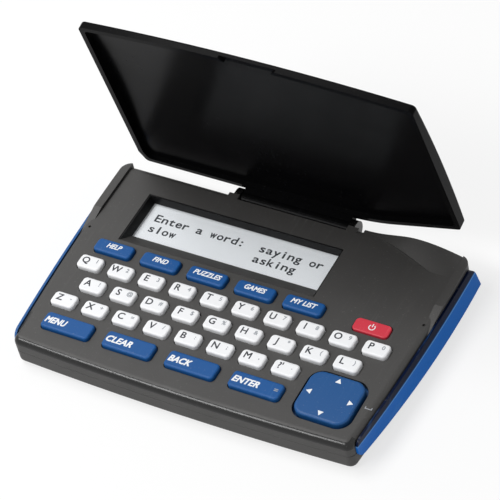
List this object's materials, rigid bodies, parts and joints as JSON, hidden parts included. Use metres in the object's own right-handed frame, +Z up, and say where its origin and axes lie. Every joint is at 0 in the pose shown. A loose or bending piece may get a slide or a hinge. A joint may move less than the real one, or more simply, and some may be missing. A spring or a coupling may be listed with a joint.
{
  "type": "electronic dictionary",
  "caption": "Pocket electronic dictionary with a hinged lid standing open over a letter keyboard, a recessed display, a rocking direction pad and coloured side panels.",
  "frame": {"origin": "on the table plane, under the middle of the dictionary's bounding box with its lid open", "axes": "+X to the reader's right along the hinge, +Y from the front edge to the hinge, +Z up"},
  "size_m": [0.134, 0.0883, 0.089],
  "materials": {
    "case_grey": "matte moulded",
    "lid_black": "high gloss",
    "panel_blue": "satin gloss",
    "bezel_black": "matte",
    "window_clear": "polished clear plastic",
    "display_panel": "satin",
    "flex_film": "satin film",
    "board_green": "satin coated",
    "chip_black": "matte",
    "mat_rubber": "matte silicone",
    "foot_rubber": "matte",
    "screw_steel": "plated",
    "cell_steel": "polished",
    "contact_brass": "plated spring strip",
    "key_white": "fine matte",
    "key_blue": "satin",
    "key_red": "satin",
    "pad_blue": "satin"
  },
  "bodies": {
    "base": {"bottom_case": "case_grey", "top_case": "case_grey", "left_side_panel": "panel_blue", "right_side_panel": "panel_blue", "display_bezel": "bezel_black", "display_window": "window_clear", "lcd_module": "display_panel", "lcd_flex": "flex_film", "main_board": "board_green", "board_components": "chip_black", "key_mat": "mat_rubber", "battery_cover": "case_grey", "battery_cover_screw": "screw_steel", "coin_cells": "cell_steel", "battery_contacts": "contact_brass", "case_screws": "screw_steel", "rubber_feet": "foot_rubber", "hinge_pins": "screw_steel"},
    "lid": {"lid_shell": "lid_black"},
    "key_q": {"key_q": "key_white"},
    "key_w": {"key_w": "key_white"},
    "key_e": {"key_e": "key_white"},
    "key_r": {"key_r": "key_white"},
    "key_t": {"key_t": "key_white"},
    "key_y": {"key_y": "key_white"},
    "key_u": {"key_u": "key_white"},
    "key_i": {"key_i": "key_white"},
    "key_o": {"key_o": "key_white"},
    "key_p": {"key_p": "key_white"},
    "key_a": {"key_a": "key_white"},
    "key_s": {"key_s": "key_white"},
    "key_d": {"key_d": "key_white"},
    "key_f": {"key_f": "key_white"},
    "key_g": {"key_g": "key_white"},
    "key_h": {"key_h": "key_white"},
    "key_j": {"key_j": "key_white"},
    "key_k": {"key_k": "key_white"},
    "key_l": {"key_l": "key_white"},
    "key_z": {"key_z": "key_white"},
    "key_x": {"key_x": "key_white"},
    "key_c": {"key_c": "key_white"},
    "key_v": {"key_v": "key_white"},
    "key_b": {"key_b": "key_white"},
    "key_n": {"key_n": "key_white"},
    "key_m": {"key_m": "key_white"},
    "key_query": {"key_query": "key_white"},
    "function_key_1": {"function_key_1": "key_blue"},
    "function_key_2": {"function_key_2": "key_blue"},
    "function_key_3": {"function_key_3": "key_blue"},
    "function_key_4": {"function_key_4": "key_blue"},
    "function_key_5": {"function_key_5": "key_blue"},
    "menu_key": {"menu_key": "key_blue"},
    "clear_key": {"clear_key": "key_blue"},
    "back_key": {"back_key": "key_blue"},
    "enter_key": {"enter_key": "key_blue"},
    "power_key": {"power_key": "key_red"},
    "pad_pivot": {"pad_pivot": "screw_steel"},
    "direction_pad": {"direction_pad": "pad_blue"}
  },
  "joints": [
    {"name": "lid_hinge", "type": "hinge", "parent": "base", "child": "lid", "pos_m": [0, 0.0382, 0.0082], "axis": [-1, 0, 0], "range_deg": [-78.5, 91.5]},
    {"name": "key_q_press", "type": "slide", "parent": "base", "child": "key_q", "axis": [0, 0, -1], "range_m": [0, 0.0008], "stiffness_N_per_m": 250},
    {"name": "key_w_press", "type": "slide", "parent": "base", "child": "key_w", "axis": [0, 0, -1], "range_m": [0, 0.0008], "stiffness_N_per_m": 250},
    {"name": "key_e_press", "type": "slide", "parent": "base", "child": "key_e", "axis": [0, 0, -1], "range_m": [0, 0.0008], "stiffness_N_per_m": 250},
    {"name": "key_r_press", "type": "slide", "parent": "base", "child": "key_r", "axis": [0, 0, -1], "range_m": [0, 0.0008], "stiffness_N_per_m": 250},
    {"name": "key_t_press", "type": "slide", "parent": "base", "child": "key_t", "axis": [0, 0, -1], "range_m": [0, 0.0008], "stiffness_N_per_m": 250},
    {"name": "key_y_press", "type": "slide", "parent": "base", "child": "key_y", "axis": [0, 0, -1], "range_m": [0, 0.0008], "stiffness_N_per_m": 250},
    {"name": "key_u_press", "type": "slide", "parent": "base", "child": "key_u", "axis": [0, 0, -1], "range_m": [0, 0.0008], "stiffness_N_per_m": 250},
    {"name": "key_i_press", "type": "slide", "parent": "base", "child": "key_i", "axis": [0, 0, -1], "range_m": [0, 0.0008], "stiffness_N_per_m": 250},
    {"name": "key_o_press", "type": "slide", "parent": "base", "child": "key_o", "axis": [0, 0, -1], "range_m": [0, 0.0008], "stiffness_N_per_m": 250},
    {"name": "key_p_press", "type": "slide", "parent": "base", "child": "key_p", "axis": [0, 0, -1], "range_m": [0, 0.0008], "stiffness_N_per_m": 250},
    {"name": "key_a_press", "type": "slide", "parent": "base", "child": "key_a", "axis": [0, 0, -1], "range_m": [0, 0.0008], "stiffness_N_per_m": 250},
    {"name": "key_s_press", "type": "slide", "parent": "base", "child": "key_s", "axis": [0, 0, -1], "range_m": [0, 0.0008], "stiffness_N_per_m": 250},
    {"name": "key_d_press", "type": "slide", "parent": "base", "child": "key_d", "axis": [0, 0, -1], "range_m": [0, 0.0008], "stiffness_N_per_m": 250},
    {"name": "key_f_press", "type": "slide", "parent": "base", "child": "key_f", "axis": [0, 0, -1], "range_m": [0, 0.0008], "stiffness_N_per_m": 250},
    {"name": "key_g_press", "type": "slide", "parent": "base", "child": "key_g", "axis": [0, 0, -1], "range_m": [0, 0.0008], "stiffness_N_per_m": 250},
    {"name": "key_h_press", "type": "slide", "parent": "base", "child": "key_h", "axis": [0, 0, -1], "range_m": [0, 0.0008], "stiffness_N_per_m": 250},
    {"name": "key_j_press", "type": "slide", "parent": "base", "child": "key_j", "axis": [0, 0, -1], "range_m": [0, 0.0008], "stiffness_N_per_m": 250},
    {"name": "key_k_press", "type": "slide", "parent": "base", "child": "key_k", "axis": [0, 0, -1], "range_m": [0, 0.0008], "stiffness_N_per_m": 250},
    {"name": "key_l_press", "type": "slide", "parent": "base", "child": "key_l", "axis": [0, 0, -1], "range_m": [0, 0.0008], "stiffness_N_per_m": 250},
    {"name": "key_z_press", "type": "slide", "parent": "base", "child": "key_z", "axis": [0, 0, -1], "range_m": [0, 0.0008], "stiffness_N_per_m": 250},
    {"name": "key_x_press", "type": "slide", "parent": "base", "child": "key_x", "axis": [0, 0, -1], "range_m": [0, 0.0008], "stiffness_N_per_m": 250},
    {"name": "key_c_press", "type": "slide", "parent": "base", "child": "key_c", "axis": [0, 0, -1], "range_m": [0, 0.0008], "stiffness_N_per_m": 250},
    {"name": "key_v_press", "type": "slide", "parent": "base", "child": "key_v", "axis": [0, 0, -1], "range_m": [0, 0.0008], "stiffness_N_per_m": 250},
    {"name": "key_b_press", "type": "slide", "parent": "base", "child": "key_b", "axis": [0, 0, -1], "range_m": [0, 0.0008], "stiffness_N_per_m": 250},
    {"name": "key_n_press", "type": "slide", "parent": "base", "child": "key_n", "axis": [0, 0, -1], "range_m": [0, 0.0008], "stiffness_N_per_m": 250},
    {"name": "key_m_press", "type": "slide", "parent": "base", "child": "key_m", "axis": [0, 0, -1], "range_m": [0, 0.0008], "stiffness_N_per_m": 250},
    {"name": "key_query_press", "type": "slide", "parent": "base", "child": "key_query", "axis": [0, 0, -1], "range_m": [0, 0.0008], "stiffness_N_per_m": 250},
    {"name": "function_key_1_press", "type": "slide", "parent": "base", "child": "function_key_1", "axis": [0, 0, -1], "range_m": [0, 0.0008], "stiffness_N_per_m": 250},
    {"name": "function_key_2_press", "type": "slide", "parent": "base", "child": "function_key_2", "axis": [0, 0, -1], "range_m": [0, 0.0008], "stiffness_N_per_m": 250},
    {"name": "function_key_3_press", "type": "slide", "parent": "base", "child": "function_key_3", "axis": [0, 0, -1], "range_m": [0, 0.0008], "stiffness_N_per_m": 250},
    {"name": "function_key_4_press", "type": "slide", "parent": "base", "child": "function_key_4", "axis": [0, 0, -1], "range_m": [0, 0.0008], "stiffness_N_per_m": 250},
    {"name": "function_key_5_press", "type": "slide", "parent": "base", "child": "function_key_5", "axis": [0, 0, -1], "range_m": [0, 0.0008], "stiffness_N_per_m": 250},
    {"name": "menu_key_press", "type": "slide", "parent": "base", "child": "menu_key", "axis": [0, 0, -1], "range_m": [0, 0.0008], "stiffness_N_per_m": 250},
    {"name": "clear_key_press", "type": "slide", "parent": "base", "child": "clear_key", "axis": [0, 0, -1], "range_m": [0, 0.0008], "stiffness_N_per_m": 250},
    {"name": "back_key_press", "type": "slide", "parent": "base", "child": "back_key", "axis": [0, 0, -1], "range_m": [0, 0.0008], "stiffness_N_per_m": 250},
    {"name": "enter_key_press", "type": "slide", "parent": "base", "child": "enter_key", "axis": [0, 0, -1], "range_m": [0, 0.0008], "stiffness_N_per_m": 250},
    {"name": "power_key_press", "type": "slide", "parent": "base", "child": "power_key", "axis": [0, 0, -1], "range_m": [0, 0.0008], "stiffness_N_per_m": 250},
    {"name": "pad_rock_sideways", "type": "hinge", "parent": "base", "child": "pad_pivot", "pos_m": [0.0468, -0.0288, 0.0094], "axis": [0, 1, 0], "range_deg": [-2.2, 2.2], "stiffness_Nm_per_rad": 0.05},
    {"name": "pad_rock_lengthways", "type": "hinge", "parent": "pad_pivot", "child": "direction_pad", "pos_m": [0.0468, -0.0288, 0.0094], "axis": [1, 0, 0], "range_deg": [-2.2, 2.2], "stiffness_Nm_per_rad": 0.05}
  ]
}
